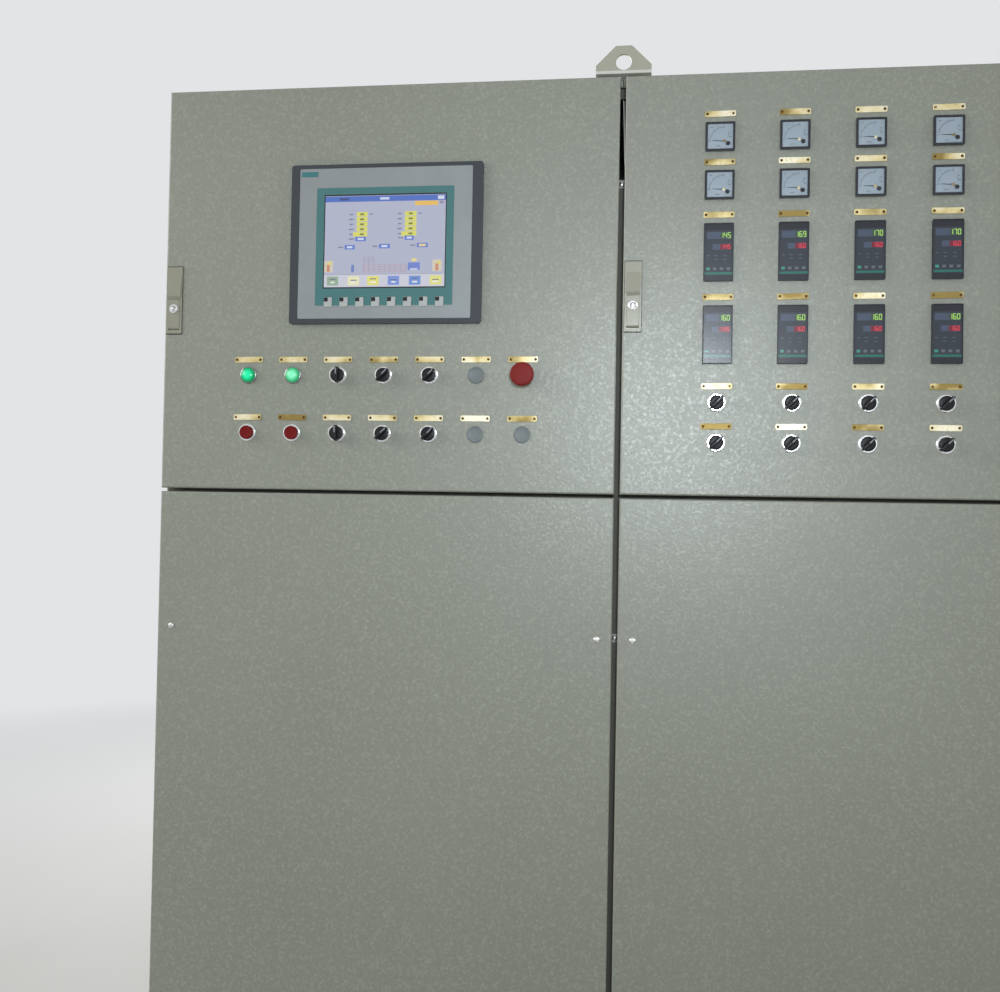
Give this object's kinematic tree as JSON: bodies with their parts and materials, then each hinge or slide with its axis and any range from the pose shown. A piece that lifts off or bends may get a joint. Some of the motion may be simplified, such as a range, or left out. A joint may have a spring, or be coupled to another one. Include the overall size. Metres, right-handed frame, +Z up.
{
  "type": "electrical control cabinet",
  "caption": "Floor-standing two-bay control cabinet of a plastic extrusion line, with hinged instrument doors, an operator panel, selectors and screwed lower covers.",
  "frame": {"origin": "on the floor, in the middle of the four floor anchor holes, under the joint between the bays", "axes": "+X to the right seen from the front, +Y from the doors to the rear, +Z up"},
  "size_m": [1.6, 0.625, 2.147],
  "materials": {
    "door_paint": "textured powder coat, grey-green beige",
    "frame_zinc": "galvanised sheet",
    "fitting_zinc": "bright zinc plating",
    "lug_paint": "cream powder coat",
    "plinth_paint": "dark grey powder coat",
    "foam": "foamed seal",
    "lock_paint": "smooth olive-beige paint",
    "brass": "polished",
    "case_dark": "anthracite, fine texture",
    "plate_silver": "satin",
    "screen": "lit display under matt glass",
    "key_plastic": "satin",
    "lamp_green": "lit lens",
    "plug_grey": "satin",
    "ring_chrome": "polished rings, black contact blocks behind",
    "meter_black": "gloss bezel",
    "controller_dark": "satin front film",
    "button_red": "satin",
    "knob_black": "satin"
  },
  "bodies": {
    "cabinet": {"plinth_corners": "plinth_paint", "plinth_panels": "plinth_paint", "frame_posts": "frame_zinc", "frame_rails": "frame_zinc", "roof_panels": "door_paint", "floor_plates": "frame_zinc", "side_panels": "door_paint", "back_panels": "door_paint", "mounting_plates": "frame_zinc", "left_lower_cover": "door_paint", "right_lower_cover": "door_paint", "lifting_lugs": "lug_paint", "bay_couplings": "fitting_zinc", "bay_seal": "foam", "hinge_brackets": "fitting_zinc"},
    "left_door": {"left_upper_door": "door_paint", "left_door_bars": "frame_zinc", "left_door_seal": "foam", "left_door_hinges": "fitting_zinc", "left_lock_body": "lock_paint", "left_latch_rod": "fitting_zinc", "left_name_plates": "brass", "operator_panel_case": "case_dark", "operator_panel_plate": "plate_silver", "operator_panel_screen": "screen", "operator_panel_keys": "key_plastic", "indicator_lamps": "lamp_green", "blanking_plugs": "plug_grey", "left_switch_bases": "ring_chrome"},
    "right_door": {"right_upper_door": "door_paint", "right_door_bars": "frame_zinc", "right_door_seal": "foam", "right_door_hinges": "fitting_zinc", "right_lock_body": "lock_paint", "right_latch_rod": "fitting_zinc", "right_name_plates": "brass", "panel_meters": "meter_black", "temperature_controllers": "controller_dark", "right_switch_bases": "ring_chrome"},
    "left_lock_lever": {"left_lock_lever": "lock_paint"},
    "right_lock_lever": {"right_lock_lever": "lock_paint"},
    "emergency_stop": {"emergency_stop": "button_red"},
    "push_button_1": {"push_button_1": "button_red"},
    "push_button_2": {"push_button_2": "button_red"},
    "left_selector_1": {"left_selector_1": "knob_black"},
    "left_selector_2": {"left_selector_2": "knob_black"},
    "left_selector_3": {"left_selector_3": "knob_black"},
    "left_selector_4": {"left_selector_4": "knob_black"},
    "left_selector_5": {"left_selector_5": "knob_black"},
    "left_selector_6": {"left_selector_6": "knob_black"},
    "right_selector_1": {"right_selector_1": "knob_black"},
    "right_selector_2": {"right_selector_2": "knob_black"},
    "right_selector_3": {"right_selector_3": "knob_black"},
    "right_selector_4": {"right_selector_4": "knob_black"},
    "right_selector_5": {"right_selector_5": "knob_black"},
    "right_selector_6": {"right_selector_6": "knob_black"},
    "right_selector_7": {"right_selector_7": "knob_black"},
    "right_selector_8": {"right_selector_8": "knob_black"},
    "right_selector_9": {"right_selector_9": "knob_black"},
    "right_selector_10": {"right_selector_10": "knob_black"}
  },
  "joints": [
    {"name": "left_door_hinge", "type": "hinge", "parent": "cabinet", "child": "left_door", "pos_m": [-0.0125, -0.292, 1.742], "axis": [0, 0, 1], "range_deg": [0, 110]},
    {"name": "right_door_hinge", "type": "hinge", "parent": "cabinet", "child": "right_door", "pos_m": [0.7875, -0.292, 1.742], "axis": [0, 0, 1], "range_deg": [0, 110]},
    {"name": "left_lever_pivot", "type": "hinge", "parent": "left_door", "child": "left_lock_lever", "pos_m": [-0.7785, -0.2975, 1.6744], "axis": [1, 0, 0], "range_deg": [0, 35]},
    {"name": "right_lever_pivot", "type": "hinge", "parent": "right_door", "child": "right_lock_lever", "pos_m": [0.0215, -0.2975, 1.6744], "axis": [1, 0, 0], "range_deg": [0, 35]},
    {"name": "emergency_stop_press", "type": "slide", "parent": "left_door", "child": "emergency_stop", "axis": [0, 1, 0], "range_m": [0, 0.005]},
    {"name": "push_button_1_press", "type": "slide", "parent": "left_door", "child": "push_button_1", "axis": [0, 1, 0], "range_m": [0, 0.0035], "stiffness_N_per_m": 400},
    {"name": "push_button_2_press", "type": "slide", "parent": "left_door", "child": "push_button_2", "axis": [0, 1, 0], "range_m": [0, 0.0035], "stiffness_N_per_m": 400},
    {"name": "left_selector_1_turn", "type": "hinge", "parent": "left_door", "child": "left_selector_1", "pos_m": [-0.48, -0.304, 1.59], "axis": [0, 1, 0], "range_deg": [-45, 45]},
    {"name": "left_selector_2_turn", "type": "hinge", "parent": "left_door", "child": "left_selector_2", "pos_m": [-0.4, -0.304, 1.59], "axis": [0, 1, 0], "range_deg": [-90, 0]},
    {"name": "left_selector_3_turn", "type": "hinge", "parent": "left_door", "child": "left_selector_3", "pos_m": [-0.32, -0.304, 1.59], "axis": [0, 1, 0], "range_deg": [-90, 0]},
    {"name": "left_selector_4_turn", "type": "hinge", "parent": "left_door", "child": "left_selector_4", "pos_m": [-0.48, -0.304, 1.49], "axis": [0, 1, 0], "range_deg": [-45, 45]},
    {"name": "left_selector_5_turn", "type": "hinge", "parent": "left_door", "child": "left_selector_5", "pos_m": [-0.4, -0.304, 1.49], "axis": [0, 1, 0], "range_deg": [-90, 0]},
    {"name": "left_selector_6_turn", "type": "hinge", "parent": "left_door", "child": "left_selector_6", "pos_m": [-0.32, -0.304, 1.49], "axis": [0, 1, 0], "range_deg": [-90, 0]},
    {"name": "right_selector_1_turn", "type": "hinge", "parent": "right_door", "child": "right_selector_1", "pos_m": [0.16, -0.304, 1.5455], "axis": [0, 1, 0], "range_deg": [-90, 0]},
    {"name": "right_selector_2_turn", "type": "hinge", "parent": "right_door", "child": "right_selector_2", "pos_m": [0.28, -0.304, 1.5455], "axis": [0, 1, 0], "range_deg": [-90, 0]},
    {"name": "right_selector_3_turn", "type": "hinge", "parent": "right_door", "child": "right_selector_3", "pos_m": [0.4, -0.304, 1.5455], "axis": [0, 1, 0], "range_deg": [-90, 0]},
    {"name": "right_selector_4_turn", "type": "hinge", "parent": "right_door", "child": "right_selector_4", "pos_m": [0.52, -0.304, 1.5455], "axis": [0, 1, 0], "range_deg": [-90, 0]},
    {"name": "right_selector_5_turn", "type": "hinge", "parent": "right_door", "child": "right_selector_5", "pos_m": [0.64, -0.304, 1.5455], "axis": [0, 1, 0], "range_deg": [-90, 0]},
    {"name": "right_selector_6_turn", "type": "hinge", "parent": "right_door", "child": "right_selector_6", "pos_m": [0.16, -0.304, 1.4795], "axis": [0, 1, 0], "range_deg": [-90, 0]},
    {"name": "right_selector_7_turn", "type": "hinge", "parent": "right_door", "child": "right_selector_7", "pos_m": [0.28, -0.304, 1.4795], "axis": [0, 1, 0], "range_deg": [-90, 0]},
    {"name": "right_selector_8_turn", "type": "hinge", "parent": "right_door", "child": "right_selector_8", "pos_m": [0.4, -0.304, 1.4795], "axis": [0, 1, 0], "range_deg": [-90, 0]},
    {"name": "right_selector_9_turn", "type": "hinge", "parent": "right_door", "child": "right_selector_9", "pos_m": [0.52, -0.304, 1.4795], "axis": [0, 1, 0], "range_deg": [-90, 0]},
    {"name": "right_selector_10_turn", "type": "hinge", "parent": "right_door", "child": "right_selector_10", "pos_m": [0.64, -0.304, 1.4795], "axis": [0, 1, 0], "range_deg": [-90, 0]}
  ]
}
